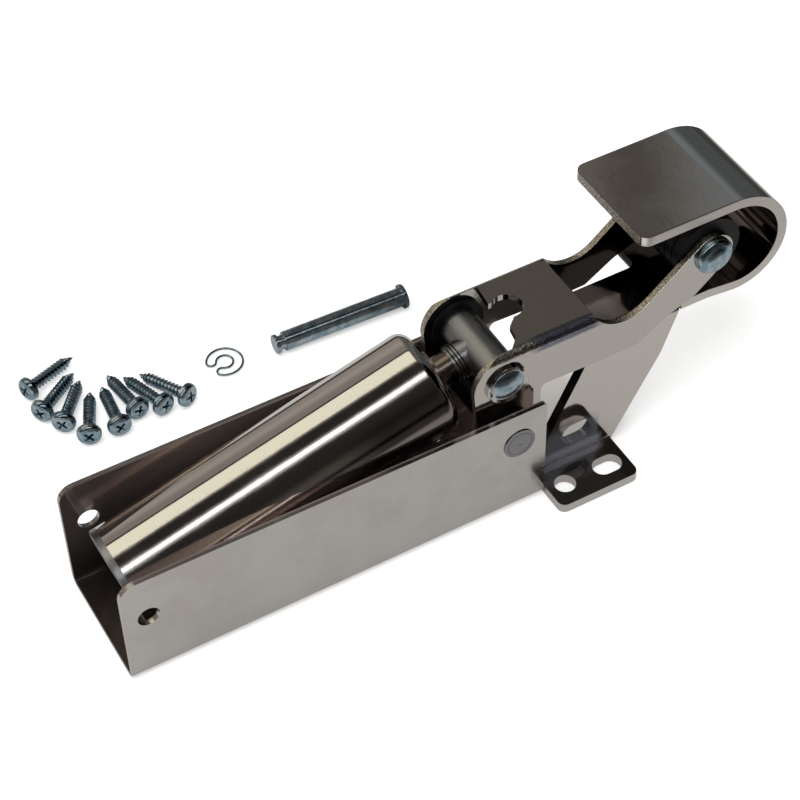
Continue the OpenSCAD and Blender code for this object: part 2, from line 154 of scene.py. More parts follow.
def mix_colours(factor, none, full):
    """The colour none where the factor is 0, and full where it is 1."""
    node = add_node(factor.tree, "Mix", {"data_type": "RGBA"}, {"Factor": factor, "A": none, "B": full})
    return next(s for s in node.outputs if s.enabled)


print("shader maths ready")

# %% [markdown]
# Most masks go by the place on a piece or by a direction, so both are split into three values.
# Rings and round hollows go by the distance from an axis, which two of the values give.

# %% Places and distances
def coordinate(tree, output):
    """A Texture Coordinate node's output."""
    return add_node(tree, "TexCoord").outputs[output]


def split(tree, vector):
    return [Val(tree, part) for part in add_node(tree, "SeparateXYZ", sockets={0: vector}).outputs]


def distance(first, second, centre):
    """How far a point lies from centre, in the plane of two of its coordinates."""
    one, other = first - centre[0], second - centre[1]
    return maths("SQRT", one * one + other * other)


def middle(low, high):
    """Where an axis that runs across the channel stands in a box: its x and z."""
    return (low[0] + high[0]) / 2, (low[2] + high[2]) / 2


print("places and distances ready")

# %% [markdown]
# Bright plating has no colour of its own: it shows the room. So the room is drawn with care, as a world that
# only mirror rays see. It could be lit by area lamps instead, but a drawn world has no noise and its edges are
# easy to place. The damper's tube is the largest mirror, so directions are measured about its leaning axis:
# turn is the angle round it in degrees, with 0 on top, and along runs from -1, straight back down the axis,
# to 1, straight up it towards the lever.

# %% Directions in the world
LEAN = math.radians(15.632)

world = bpy.data.worlds.new("studio")
world.use_nodes = True
scene.world = world
tree = world.node_tree
tree.nodes.clear()
wx, wy, wz = split(tree, coordinate(tree, "Generated"))
along = wx * math.cos(LEAN) + wz * math.sin(LEAN)
over = wz * math.cos(LEAN) - wx * math.sin(LEAN)
turn = maths("ARCTAN2", -wy, over) * math.degrees(1)
print("damper leans", round(math.degrees(LEAN), 2), "degrees")

# %% [markdown]
# Long lamps and dark gaps give the tube its cream strip, its thin dark line and its white streak.
# Each lamp is a band of turn, cut to its length by a band of along. The strip has sharp edges, and the streak
# soft ones with a brighter core, which tells the eye that these are two different lamps.

# %% Lamps that the tube shows
CREAM_LAMP, DARK_LINE, STREAK, STREAK_CORE = (-37.5, -9), (-41.5, -38.6), (19.5, 31), (22, 26)
TUBE_REACH, STREAK_REACH = (-0.65, 0.33), (-0.75, 0.45)
CREAM_LEVEL, STREAK_LEVEL, CORE_LEVEL = 0.93, 0.95, 2.4

tube_part = along.band(*TUBE_REACH, 0.05)
streak_part = along.band(*STREAK_REACH, 0.08)
cream = turn.band(*CREAM_LAMP, 1.2) * tube_part
line = turn.band(*DARK_LINE, 0.6) * tube_part
streak = turn.band(*STREAK, 5) * streak_part
core = turn.band(*STREAK_CORE, 2.6) * streak_part
print("lamps drawn with", len(tree.nodes), "nodes")

# %% [markdown]
# The rest of the studio is warm and dim. Its far side and ceiling are large grey fields, which the channel and
# the hook show. The near side is almost dark, and a narrow gap parts the ceiling from the wall on the right:
# with no dark places to show, plating would look like grey paint.

# %% Walls and ceiling of the studio
FAR_SIDE, FAR_CORNER, NEAR_SIDE, FRONT_ROOM = (-85, -60), (-50, -72), (-9, -3), (75, 125)
CEILING_END, GAP, RIGHT_WALL, WALL_END = (0.2, 0.45), (0.60, 0.625), (0.64, 0.72), (0.72, 0.78)
FAR_LEVEL, CORNER_LEVEL, CEILING_LEVEL, NEAR_LEVEL = 0.10, 0.16, 0.118, 0.02
FRONT_LEVEL, WALL_LEVEL, WALL_END_LOSS, LINE_LOSS, GAP_LOSS = 0.05, 0.035, 0.05, 0.97, 0.5

far_side = turn.ramp(*FAR_SIDE) * FAR_LEVEL + turn.ramp(*FAR_CORNER) * CORNER_LEVEL
near_side = turn.ramp(*NEAR_SIDE)
grey = far_side * (1 - along.ramp(*CEILING_END)) + CEILING_LEVEL
ceiling = grey * (1 - near_side) + NEAR_LEVEL * near_side
front_room = turn.band(*FRONT_ROOM, 10) * FRONT_LEVEL
right_wall = along.band(*RIGHT_WALL, 0.03) * WALL_LEVEL - along.ramp(*WALL_END) * WALL_END_LOSS
gap = along.band(*GAP, 0.01)
level = (ceiling + front_room + right_wall) * (1 - line * LINE_LOSS) * (1 - gap * GAP_LOSS)
strength = level * (1 - cream) + cream * CREAM_LEVEL + streak * STREAK_LEVEL + core * CORE_LEVEL
print("studio drawn with", len(tree.nodes), "nodes")

# %% [markdown]
# The room's greys are warm, the lamp behind the cream strip is yellower, and the streak and the right-hand
# wall are cool, as daylight from a window is.

# %% Colours of the studio
WARM_GREY, CREAM = (1, 0.89, 0.80), (1, 0.955, 0.78)
COOL_LAMP, DAYLIGHT, DAYLIGHT_FROM = (0.96, 0.98, 1), (0.88, 0.96, 1), (0.615, 0.65)

room = mix_colours(cream, WARM_GREY, CREAM)
room = mix_colours((streak + core).clamp(), room, COOL_LAMP)
room = mix_colours(along.ramp(*DAYLIGHT_FROM), room, DAYLIGHT)
print("studio coloured with", len(tree.nodes), "nodes")

# %% [markdown]
# The camera sees plain white behind the device, and the light that falls on matt surfaces is even.
# Both come from Light Path, which tells what kind of ray is asking: only mirror rays see the lamps.

# %% World output
WHITE, SOFT_WHITE, SOFT_LEVEL = (1, 1, 1), (1, 0.99, 0.98), 0.62

path = add_node(tree, "LightPath").outputs
seen, soft = Val(tree, path["Is Camera Ray"]), Val(tree, path["Is Diffuse Ray"])
colour = mix_colours(soft, mix_colours(seen, room, WHITE), SOFT_WHITE)
total = (strength * (1 - seen) + seen) * (1 - soft) + SOFT_LEVEL * soft
background = add_node(tree, "Background", sockets={"Color": colour, "Strength": total})
add_node(tree, "OutputWorld", sockets={"Surface": background.outputs[0]})
print("world made of", len(tree.nodes), "nodes")

# %% [markdown]
# One broad lamp high on the left gives the soft shadow. It is kept out of reflections,
# because the world already holds the lamps that the plating should show.

# %% Lamp
LAMP_AT, LAMP_SIZE, LAMP_WATTS = Vector((-0.35, -0.25, 1.3)), 0.9, 9

lamp_data = bpy.data.lights.new("softbox", "AREA")
lamp_data.shape = "DISK"
lamp_data.size = LAMP_SIZE
lamp_data.energy = LAMP_WATTS
lamp = bpy.data.objects.new("softbox", lamp_data)
lamp.location = LAMP_AT
lamp.rotation_euler = LAMP_AT.to_track_quat("Z", "Y").to_euler()
lamp.visible_glossy = False
scene.collection.objects.link(lamp)
print("lamp at", tuple(round(v, 2) for v in lamp.location))

# %% [markdown]
# The device lies on white paper, a plain plane a hair under its feet, so that the two don't fight for one height.

# %% Paper on the table
PAPER_SIZE, PAPER_HEIGHT = 6, -0.0004

bpy.ops.object.select_all(action="DESELECT")
bpy.ops.mesh.primitive_plane_add(size=PAPER_SIZE, location=(0, 0, PAPER_HEIGHT))
floor = bpy.context.object
floor.name = "floor"
paper = bpy.data.materials.new("paper")
paper.use_nodes = True
tree = paper.node_tree
tree.nodes.clear()
print("paper at", floor.location.z)

# %% [markdown]
# In the plating the paper shows as pale warm grey, darker under the lever, where the device shades it, and dark
# in front and after a few hand widths, as a table top would be. A small dim patch that the camera sees is
# the warm shade in the corner between the lever and the channel. Each patch is a band in x times one in y.

# %% Patches on the paper
UNDER_LEVER_X, UNDER_LEVER_Y = (0.075, 0.20), (-0.008, 0.10)
CORNER_X, CORNER_Y = (0.088, 0.124), (-0.012, 0.034)
PAPER_CENTRE, PAPER_EDGE, FRONT_EDGE = (0.05, 0), (0.26, 0.40), (-0.105, -0.15)
SHADE_LOSS, EDGE_LOSS, FRONT_LOSS = 0.86, 0.88, 0.85

px, py, _ = split(tree, coordinate(tree, "Object"))
shaded = px.band(*UNDER_LEVER_X, 0.02) * py.band(*UNDER_LEVER_Y, 0.012)
away = distance(px, py, PAPER_CENTRE).ramp(*PAPER_EDGE)
front = py.ramp(*FRONT_EDGE)
dim = (1 - shaded * SHADE_LOSS) * (1 - away * EDGE_LOSS) * (1 - front * FRONT_LOSS)
corner = px.band(*CORNER_X, 0.008) * py.band(*CORNER_Y, 0.008)
print("patches on the paper:", len(tree.nodes), "nodes")

# %% [markdown]
# To the camera the paper glows a little, so that it stays white under the soft light and still keeps the
# device's shadow. A diffuse and an emission shader are added up, and Light Path picks what each ray gets.

# %% Glow of the paper
PAPER, CORNER_SHADE = (0.86, 0.86, 0.86), (0.52, 0.48, 0.42)
BLACK, PAPER_IN_PLATING = (0, 0, 0), (0.47, 0.455, 0.435)
GLOW, GLOW_IN_PLATING, CORNER_LOSS = 0.42, 0.10, 0.5

path = add_node(tree, "LightPath").outputs
seen, mirror, through = (Val(tree, path[f"Is {kind} Ray"]) for kind in ("Camera", "Glossy", "Transmission"))
facing = mix_colours(corner * seen, PAPER, CORNER_SHADE)
mirrored = mix_colours(dim, BLACK, PAPER_IN_PLATING)
diffuse = add_node(tree, "BsdfDiffuse", sockets={"Color": mix_colours(mirror, facing, mirrored)})
lift = (seen + through).clamp() * GLOW * (1 - corner * CORNER_LOSS) + mirror * dim * GLOW_IN_PLATING
glow = add_node(tree, "Emission", sockets={"Color": WHITE, "Strength": lift})
both = add_node(tree, "AddShader", sockets={0: diffuse.outputs[0], 1: glow.outputs[0]})
add_node(tree, "OutputMaterial", sockets={"Surface": both.outputs[0]})
floor.data.materials.append(paper)
print("paper placed")

# %% [markdown]
# Every finish starts from the same few steps: a new material, a Principled shader, noises that read Object
# coordinates, and a bump. One class keeps the finishes below down to what makes each of them different.
# Their masks go by places in metres: x runs along the channel towards the roller, y across it and z up.

# %% A finish
class Finish:
    """A new material, whose patterns go by the place on the device."""

    def __init__(self, name, metallic=1):
        self.material = bpy.data.materials.new(name)
        self.material.use_nodes = True
        self.tree = self.material.node_tree
        self.shader = self.tree.nodes["Principled BSDF"]
        self.where = coordinate(self.tree, "Object")
        self.look({"Metallic": metallic})

    def look(self, sockets):
        feed(self.shader, sockets)

    def place(self):
        return split(self.tree, self.where)

    def noise(self, scale, detail=3, rough=0.5):
        node = add_node(self.tree, "TexNoise", sockets={
            "Vector": self.where, "Scale": scale, "Detail": detail, "Roughness": rough})
        return Val(self.tree, node.outputs[0])

    def bump(self, height, strength, depth):
        node = add_node(self.tree, "Bump", sockets={"Height": height, "Strength": strength, "Distance": depth})
        self.look({"Normal": node.outputs[0]})

    def paint(self, *names):
        for name in names:
            materials = nodes[name].data.materials
            materials.clear()
            materials.append(self.material)
        print(self.material.name, "on", ", ".join(names))


print("finishes can be made")

# %% [markdown]
# The channel is nickel plated sheet. The plating is bright but not perfect: faint cloudy patches,
# finger marks and a slight ripple left by rolling break the reflections, so its walls look satin.
# Inside the channel the coat is thin, brown and less metallic; towards its rear and floor, painted shade darkens
# it.
# All of it is one material with masks, since the channel is one piece of sheet.

# %% Nickel plated channel
DULL_NICKEL, FRESH_NICKEL = (0.585, 0.565, 0.535), (0.64, 0.625, 0.61)
THIN_COAT, CHANNEL_SHADE, NEAR_COAT = (0.64, 0.53, 0.50), (0.11, 0.088, 0.080), (0.58, 0.48, 0.48)
WITHIN_WALLS, NEAR_WALL, WALL_TOP = (0.0239, 0.0233), (-0.0228, -0.0236), (0.026, 0.036)
TO_THE_REAR, TO_THE_FLOOR = (-0.020, -0.072), (0.030, 0.006)

satin = Finish("satin_nickel")
x, y, z = satin.place()
clouds = satin.noise(60, 4, 0.6)
marks = satin.noise(900, 3, 0.6)
inside = abs(y).ramp(*WITHIN_WALLS)
near_inner = y.ramp(*NEAR_WALL) * inside * z.ramp(*WALL_TOP)
rear_low_shade = x.ramp(*TO_THE_REAR) * 0.55 + z.ramp(*TO_THE_FLOOR) * 0.45
tint = mix_colours(clouds.ramp(0.35, 0.65), DULL_NICKEL, FRESH_NICKEL)
tint = mix_colours(inside, tint, THIN_COAT)
# Towards the rear and the floor inside the channel the colour goes nearly black: painted shade.
tint = mix_colours(inside * rear_low_shade.clamp(), tint, CHANNEL_SHADE)
tint = mix_colours(near_inner, tint, NEAR_COAT)
wear = clouds.ramp(0.42, 0.7) * 0.12 + marks.ramp(0.55, 0.75) * 0.08
satin.look({"Base Color": tint, "Roughness": 0.12 + wear * (1 - inside * 0.7),
            "Metallic": 1 - inside * 0.12 - near_inner * 0.10})
satin.bump(clouds * 0.7 + marks * 0.08, 0.16, 0.0006)
satin.paint("chassis")

# %% [markdown]
# The rivet was set after plating, so its heads kept the grey of the wire they were cut from. The setting tool
# left a ring on them, and the rim stayed dark: both are bands at a distance from the rivet's axis.

# %% Rivet of the lever
WIRE_GREY, PRESSED_GREY = (0.30, 0.30, 0.315), (0.17, 0.17, 0.18)
TOOL_RING, HEAD_RIM = (0.0046, 0.0050), (0.0066, 0.0072)

rivet_grey = Finish("rivet_grey")
low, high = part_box("pivot_rivet")
rivet_at = middle(low, high)
x, _, z = rivet_grey.place()
reach = distance(x, z, rivet_at)
ring = (reach.band(*TOOL_RING, 0.0002) + reach.ramp(*HEAD_RIM)).clamp()
rivet_grey.look({"Base Color": mix_colours(ring, WIRE_GREY, PRESSED_GREY),
                 "Roughness": 0.16 + rivet_grey.noise(500) * 0.12})
rivet_grey.paint("pivot_rivet")
print("rivet at", tuple(round(v, 4) for v in rivet_at))

# %% [markdown]
# The lever was stamped and bent before plating. Its faces are smooth as a mirror, but the cut edges are torn and
# grainy, and the near bend is crackled and blue where the sheet was stretched. Masks made from the place on the
# piece tell a cut edge from a face: a face lies at the sheet's surface, and a cut runs between two faces.

# %% Cut edges and bend of the lever
NEAR_SHEET, FAR_SHEET, SKIN = (-0.01935, -0.01715), (0.01465, 0.01685), 0.0001
BEND_X, BEND_Y, BEND_Z = (0.079, 0.1045), (-0.0154, -0.0162), (0.0688, 0.0742)
FAR_ARM_X, FAR_ARM_Y = (0.100, 0.104), (0.0138, 0.01465)

stamped = Finish("stamped_nickel")
x, y, z = stamped.place()
clouds = stamped.noise(75, 4, 0.6)
grit = stamped.noise(1500, 3, 0.65)
crackle = stamped.noise(2300, 2, 0.6)
cut = (y.band(*NEAR_SHEET, SKIN) + y.band(*FAR_SHEET, SKIN)).clamp()
bend = y.ramp(*BEND_Y) * z.band(*BEND_Z, 0.0005) * x.band(*BEND_X, 0.0035)
far_arm = y.band(*FAR_ARM_Y, SKIN) * x.ramp(*FAR_ARM_X)
print("masks of the lever:", len(stamped.tree.nodes), "nodes")

# %% [markdown]
# The masks now choose between plain colours. The far arm's inner face looks into the dark between the arms,
# so it is nearly black.

# %% Stamped and plated lever
NICKEL, TORN_DARK, TORN_BRIGHT = (0.60, 0.575, 0.55), (0.30, 0.25, 0.19), (0.80, 0.745, 0.64)
STRETCHED_BLUE, ARM_SHADE = (0.15, 0.165, 0.26), (0.022, 0.017, 0.014)

torn = mix_colours(grit.ramp(0.36, 0.60), TORN_DARK, TORN_BRIGHT)
tint = mix_colours(cut, NICKEL, torn)
tint = mix_colours(bend * (0.90 - crackle.ramp(0.55, 0.62) * 0.7), tint, STRETCHED_BLUE)
tint = mix_colours(far_arm, tint, ARM_SHADE)
stamped.look({"Base Color": tint,
              "Roughness": 0.08 + clouds.ramp(0.45, 0.7) * 0.07 + cut * 0.06 + bend * 0.08})
stamped.bump(clouds * 0.35 + grit * cut * 2.2 + crackle * bend * 0.6, 0.4, 0.0004)
stamped.paint("lever", "dished_washers")

# %% [markdown]
# The hook is the brightest piece, a thick strip of mirror plating, and the top face of its plate is painted
# lighter still, a painted highlight. Its sawn rims are dull, and inside the loop the dark colour is painted shade.
# The loop's hollow is made of two round masks, for its wide and its tight turn, and a straight one for the
# stretch that leads to them. They meet at the height of the turns' centres.

# %% Rims and hollow of the hook
WIDE_TURN, WIDE_HOLLOW = (0.1606, 0.0734), (0.0222, 0.0216)
TIGHT_TURN, TIGHT_HOLLOW = (0.1652, 0.0734), (0.0177, 0.0171)
NEAR_RIM, NEAR_RIM_FROM, FAR_RIM = (-0.0158, -0.01655), (0.0645, 0.066), (0.0264, 0.0268)
LIMB_X, LIMB_Z = (0.1640, 0.1625), (0.0570, 0.0929)

mirror_nickel = Finish("mirror_nickel")
x, y, z = mirror_nickel.place()
rim = (y.ramp(*NEAR_RIM) * z.ramp(*NEAR_RIM_FROM) + y.ramp(*FAR_RIM)).clamp()
upper = distance(x, z, WIDE_TURN).ramp(*WIDE_HOLLOW) * z.ramp(0.0730, 0.0738)
lower = distance(x, z, TIGHT_TURN).ramp(*TIGHT_HOLLOW) * z.ramp(0.0738, 0.0730)
straight = x.ramp(*LIMB_X) * z.band(*LIMB_Z, 0.0002)
hollow = (upper + lower + straight).clamp() * (1 - rim) * x.ramp(0.105, 0.107)
hollow = hollow * (0.62 + x.ramp(0.117, 0.124) * 0.38) * y.ramp(-0.0164, -0.0160)
print("hollow of the hook:", len(mirror_nickel.tree.nodes), "nodes")

# %% [markdown]
# The strip's sawn end is measured from the mesh, so that its mask follows the hook. Where the strip folds down
# to the foot, the plating is bluish on the tab, and the fillet is rougher and carries a painted bluish white
# highlight.

# %% Plate and foot of the hook
PLATE_HEIGHT, PLATE_TOP, PLATE_NEAR, SAWN_FROM = 0.09, (0.0935, 0.0950), (-0.0162, -0.0156), (0.088, 0.090)
TAB_X, TAB_Z = (0.1100, 0.1080), (0.0070, 0.0180)
FILLET_X, FILLET_Y, FILLET_Z = (0.1120, 0.1090), (-0.0195, -0.0160), (0.0048, 0.0080)

plate_end = min(v.co.x for v in nodes["hook"].data.vertices if v.co.z > PLATE_HEIGHT)
# The top face of the plate gets a lighter colour than the rest of the hook: a painted highlight.
lit_plate_top = z.ramp(*PLATE_TOP) * y.ramp(*PLATE_NEAR) * (1 - rim)
sawn = x.ramp(plate_end + 0.0004, plate_end + 0.0001) * z.ramp(*SAWN_FROM)
tab = x.ramp(*TAB_X) * z.band(*TAB_Z, 0.0050)
fillet = x.ramp(*FILLET_X) * z.band(*FILLET_Z, 0.0024) * y.band(*FILLET_Y, 0.0009)
print("plate ends at", round(plate_end, 4))

# %% [markdown]
# Each mask brings its own colour, and the dull ones also add to the roughness. The order matters, as each mix
# covers the one before it. Sawn metal is rough enough to need a stronger bump than the rest.

# %% Mirror plated hook
MIRROR, HOLLOW_SHADE, PLATE_TOP_HIGHLIGHT = (0.68, 0.65, 0.625), (0.20, 0.18, 0.17), (0.99, 0.96, 0.925)
SAWN_DARK, SAWN_BRIGHT = (0.20, 0.18, 0.15), (0.62, 0.58, 0.50)
TAB_BLUE, FILLET_HIGHLIGHT = (0.36, 0.38, 0.46), (0.52, 0.56, 0.70)

clouds = mirror_nickel.noise(55, 4, 0.6)
grit = mirror_nickel.noise(1300, 3, 0.6)
# Inside the loop's hollow the colour is dark: painted shade.
tint = mix_colours(hollow, MIRROR, HOLLOW_SHADE)
# Painted highlight on the plate's top face.
tint = mix_colours(lit_plate_top.clamp() * (1 - hollow), tint, PLATE_TOP_HIGHLIGHT)
tint = mix_colours(sawn, tint, mix_colours(grit.ramp(0.36, 0.60), SAWN_DARK, SAWN_BRIGHT))
tint = mix_colours(tab * 0.8, tint, TAB_BLUE)
# The fillet's bluish white line is a painted highlight along the fold.
tint = mix_colours(fillet.clamp() * 0.9, tint, FILLET_HIGHLIGHT)
dull = rim * 0.22 + (tab * 0.12 + fillet * 0.30 + sawn * 0.25).clamp()
mirror_nickel.look({"Base Color": tint, "Metallic": 1 - (tab * 0.16 + fillet * 0.30).clamp(),
                    "Roughness": 0.06 + clouds.ramp(0.45, 0.7) * 0.05 + dull})
mirror_nickel.bump(clouds * 0.3 + grit * (rim * 0.4 + sawn * 1.5), 0.3, 0.0004)
mirror_nickel.paint("hook")

# %% [markdown]
# The cylinder is a drawn tube, brighter and smoother than the sheet. Fine pits from the plating bath gather in
# patches, most of all on its near flank, and turn the long lamp's reflection into sparks.
# A bump does that, since the pits are far too small to be modelled.

# %% Drawn tube
BRIGHT_TUBE, TUBE_SHADE, SPECKLE = (0.80, 0.775, 0.74), (0.24, 0.215, 0.215), (0.30, 0.29, 0.30)
NEAR_FLANK, SHADED_X, SHADED_Y = (-0.001, -0.007), (0.000, 0.024), (-0.0130, -0.0165)

bright_tube = Finish("bright_tube")
x, y, _ = bright_tube.place()
pits = bright_tube.noise(2400, 2, 0.5)
patch = bright_tube.noise(70, 3, 0.6)
speckle = bright_tube.noise(1700, 2, 0.7)
flank = y.ramp(*NEAR_FLANK)
shade = y.ramp(*SHADED_Y) * x.ramp(*SHADED_X)
tint = mix_colours(shade, BRIGHT_TUBE, TUBE_SHADE)
tint = mix_colours(flank * speckle.ramp(0.56, 0.66) * 0.5, tint, SPECKLE)
bright_tube.look({"Base Color": tint, "Roughness": 0.05 + patch.ramp(0.4, 0.8) * 0.05 + flank * 0.05})
bright_tube.bump(pits * (patch.ramp(0.42, 0.7) * 0.12 + flank * patch.ramp(0.3, 0.6) * 0.30), 0.6, 0.00007)
bright_tube.paint("damper_tube")

# %% [markdown]
# The rod eye and the rear cap have a dull zinc coat that went grey. Its grains are coarse enough to glitter,
# so one noise makes both the roughness and the bump.

# %% Dull zinc
ZINC_GREY = (0.42, 0.43, 0.44)

dull_zinc = Finish("dull_zinc")
grain = dull_zinc.noise(900, 4, 0.65)
dull_zinc.look({"Base Color": ZINC_GREY, "Roughness": 0.22 + grain * 0.22})
dull_zinc.bump(grain, 0.5, 0.0002)
dull_zinc.paint("rod_eye", "piston", "rear_cap", "roller_bush")

# %% [markdown]
# Small fixings are barrel plated and passivated, which gives zinc a thin blue film. The film is uneven,
# so a broad noise runs the colour from slate to a pale grey blue within a few millimetres.

# %% Blue zinc
SLATE, PALE_BLUE = (0.27, 0.40, 0.49), (0.50, 0.58, 0.63)

blue_zinc = Finish("blue_zinc")
grain = blue_zinc.noise(350, 3, 0.6)
blue_zinc.look({"Base Color": mix_colours(grain.ramp(0.4, 0.62), SLATE, PALE_BLUE),
                "Roughness": 0.13 + grain * 0.14})
blue_zinc.bump(grain, 0.16, 0.0002)
blue_zinc.paint("rod_pin", "roller_axle", "clevis_pin", "pin_clip", "fixing_screws")

# %% [markdown]
# The piston rod and its collar are bare steel with a film of brown oil. The film lies unevenly,
# which only the roughness shows.

# %% Oiled steel
OILY_BROWN = (0.24, 0.195, 0.17)

oiled_steel = Finish("oiled_steel")
oiled_steel.look({"Base Color": OILY_BROWN, "Roughness": 0.16 + oiled_steel.noise(400) * 0.2})
oiled_steel.paint("piston_rod", "gland_collar")

# %% [markdown]
# The roller and the washers are black plastic. The roller was turned on a lathe, so fine rings run round it,
# and they follow the distance from its axle. A ring pattern is a sine of that distance.

# %% Black plastic
BLACK_PLASTIC, RING_SPACING = (0.0045, 0.0045, 0.0055), 0.0007


def black_plastic(name, axle=None):
    finish = Finish(name, metallic=0)
    grain = finish.noise(600)
    finish.look({"Base Color": BLACK_PLASTIC, "Specular IOR Level": 0.20, "Roughness": 0.24 + grain * 0.16})
    height = grain * 0.6
    if axle:
        x, _, z = finish.place()
        height = height + maths("SINE", distance(x, z, axle) * (math.tau / RING_SPACING)) * 0.3
    finish.bump(height, 0.22, 0.0002)
    return finish


low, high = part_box("roller")
axle_at = middle(low, high)
black_plastic("turned_black", axle_at).paint("roller")
black_plastic("moulded_black").paint("pivot_spacers", "pivot_tube", "eye_washers", "piston_seal", "rod_seal")
print("axle at", tuple(round(v, 4) for v in axle_at))

# %% [markdown]
# The small parts come next, modelled as by hand: a primitive is added, points are picked by their place, and
# an operator moves or bevels them. An operator acts on all that is selected, so nothing may be left selected
# from before. A few helpers see to that, to the mesh's faces and to where a finished piece keeps its place.

# %% Modelling helpers
MM = 0.001


def alone(*pieces):
    """Selects these pieces and nothing else, and makes the last one active."""
    bpy.ops.object.select_all(action="DESELECT")
    for piece in pieces:
        piece.select_set(True)
        bpy.context.view_layer.objects.active = piece


def place_in_mesh():
    """Writes the selected piece's place, turn and size into its mesh."""
    bpy.ops.object.transform_apply(location=True, rotation=True, scale=True)


def added(name):
    """The primitive that was just added, named and with its place in its mesh."""
    place_in_mesh()
    bpy.context.object.name = name
    return bpy.context.object


def edit():
    bpy.ops.object.mode_set(mode="EDIT")
    bpy.ops.mesh.select_mode(type="VERT")


def done():
    bpy.ops.object.mode_set(mode="OBJECT")


def pick(test):
    """Selects the points whose place passes the test, and the edges and faces between them."""
    mesh = bmesh.from_edit_mesh(bpy.context.object.data)
    for point in mesh.verts:
        point.select = bool(test(point.co))
    mesh.select_flush(True)
    mesh.select_flush(False)
    bmesh.update_edit_mesh(bpy.context.object.data)


print("modelling helpers ready")

# %% [markdown]
# Three more helpers look after a mesh while it is edited. Merging joins points that fell on one another,
# filling finds the open edges and lays a face across them, and turning makes every face look outwards.
# The last one applies a piece's modifiers, so that the piece is plain mesh from then on.

# %% Mesh helpers
def merge():
    bpy.ops.mesh.select_all(action="SELECT")
    bpy.ops.mesh.remove_doubles(threshold=1e-6)


def fill_holes():
    bpy.ops.mesh.select_all(action="DESELECT")
    bpy.ops.mesh.select_non_manifold()
    bpy.ops.mesh.edge_face_add()


def face_outwards():
    bpy.ops.mesh.select_all(action="SELECT")
    bpy.ops.mesh.normals_make_consistent(inside=False)


def apply_modifiers(piece):
    for modifier in list(piece.modifiers):
        bpy.ops.object.modifier_apply(modifier=modifier.name)


print("mesh helpers ready")

# %% [markdown]
# A thread is one ridge that winds round a core. The profile of one turn, a short upright line with its middle
# pulled out to a crest, is swept by the Screw modifier, which turns and lifts it together.
# A stack of rings would look the same from afar, but the lay of a real helix shows up close.
# The sweep is an open tube, so both its ends are filled, and each end is cut into a fan of triangles.

# %% Thread
def thread(name, core, crest, pitch, turns, steps=28):
    """A helix that rises from the origin; core and crest are its two radii, and steps make one turn."""
    alone()
    bpy.ops.mesh.primitive_plane_add(size=pitch, location=(core + pitch / 2, 0, pitch / 2),
                                     rotation=(math.pi / 2, 0, 0))
    piece = added(name)
    edit()
    pick(lambda p: p.x > core + pitch / 2)
    bpy.ops.mesh.delete(type="VERT")
    bpy.ops.mesh.select_all(action="SELECT")
    bpy.ops.mesh.subdivide(number_cuts=3)
    pick(lambda p: abs(p.z - pitch / 2) < pitch / 10)
    bpy.ops.transform.translate(value=(crest - core, 0, 0))
    done()
    sweep = piece.modifiers.new("turns", "SCREW")
    sweep.axis = "Z"
    sweep.screw_offset = pitch
    sweep.iterations = turns
    sweep.steps = sweep.render_steps = steps
    apply_modifiers(piece)
    edit()
    merge()
    fill_holes()
    bpy.ops.mesh.poke()
    bpy.ops.mesh.select_all(action="SELECT")
    bpy.ops.mesh.quads_convert_to_tris()
    face_outwards()
    done()
    return piece


print("threads can be wound")

# %% [markdown]
# The shank of a tapping screw is thread from end to end. It is wound upwards from the origin,
# so the head goes below, and the whole screw stands on its head until it is laid down.

# %% Shank of the screw
SHANK_R, SHANK_CORE_R = 2.4 * MM, 1.75 * MM
SCREW_PITCH, SCREW_TURNS = 23.3 * MM / 14, 13

shank = thread("screw_shank", SHANK_CORE_R, SHANK_R, SCREW_PITCH, SCREW_TURNS)
print("shank points:", len(shank.data.vertices))

# %% [markdown]
# The last turns shrink to a point. Simple Deform's taper does it between two limits, which are shares of the
# shank's length, and it measures from an empty that stands where the point begins.

# %% Point of the screw
POINT_FROM, POINT_TAPER, TIP_LENGTH = 18 * MM, -0.93, 0.3 * MM

bpy.ops.object.empty_add(location=(0, 0, POINT_FROM))
start = bpy.context.object
alone(shank)
bottom = min(v.co.z for v in shank.data.vertices)
top = max(v.co.z for v in shank.data.vertices)
taper = shank.modifiers.new("point", "SIMPLE_DEFORM")
taper.deform_method = "TAPER"
taper.deform_axis = "Z"
taper.origin = start
taper.limits = ((POINT_FROM - bottom) / (top - bottom), 1)
taper.factor = POINT_TAPER
apply_modifiers(shank)
bpy.data.objects.remove(start)
tip = max(math.hypot(v.co.x, v.co.y) for v in shank.data.vertices if v.co.z > top - TIP_LENGTH)
print("point radius:", round(tip / MM, 2), "mm")

# %% [markdown]
# A pan head is a low disc with a well rounded rim and a slightly crowned top. It starts as a cylinder;
# its outer rim is bevelled in several steps, and its top face is inset and lifted.

# %% Pan head
HEAD_R, HEAD_DEPTH, HEAD_ROUNDING = 4.65 * MM, 2.55 * MM, 1.75 * MM
CROWN_INSET, CROWN_RISE, NEAR_TOP = 1.3 * MM, 0.2 * MM, 0.05 * MM

alone()
bpy.ops.mesh.primitive_cylinder_add(vertices=40, radius=HEAD_R, depth=HEAD_DEPTH,
                                    location=(0, 0, -HEAD_DEPTH / 2))
pan = added("pan_head")
edit()
pick(lambda p: p.z < NEAR_TOP - HEAD_DEPTH)
bpy.ops.mesh.bevel(offset=HEAD_ROUNDING, segments=7, profile=0.5, affect="EDGES")
pick(lambda p: p.z < NEAR_TOP - HEAD_DEPTH)
bpy.ops.mesh.inset(thickness=CROWN_INSET)
bpy.ops.transform.translate(value=(0, 0, -CROWN_RISE))
face_outwards()
done()
print("head height:", round(-min(v.co.z for v in pan.data.vertices) / MM, 2), "mm")

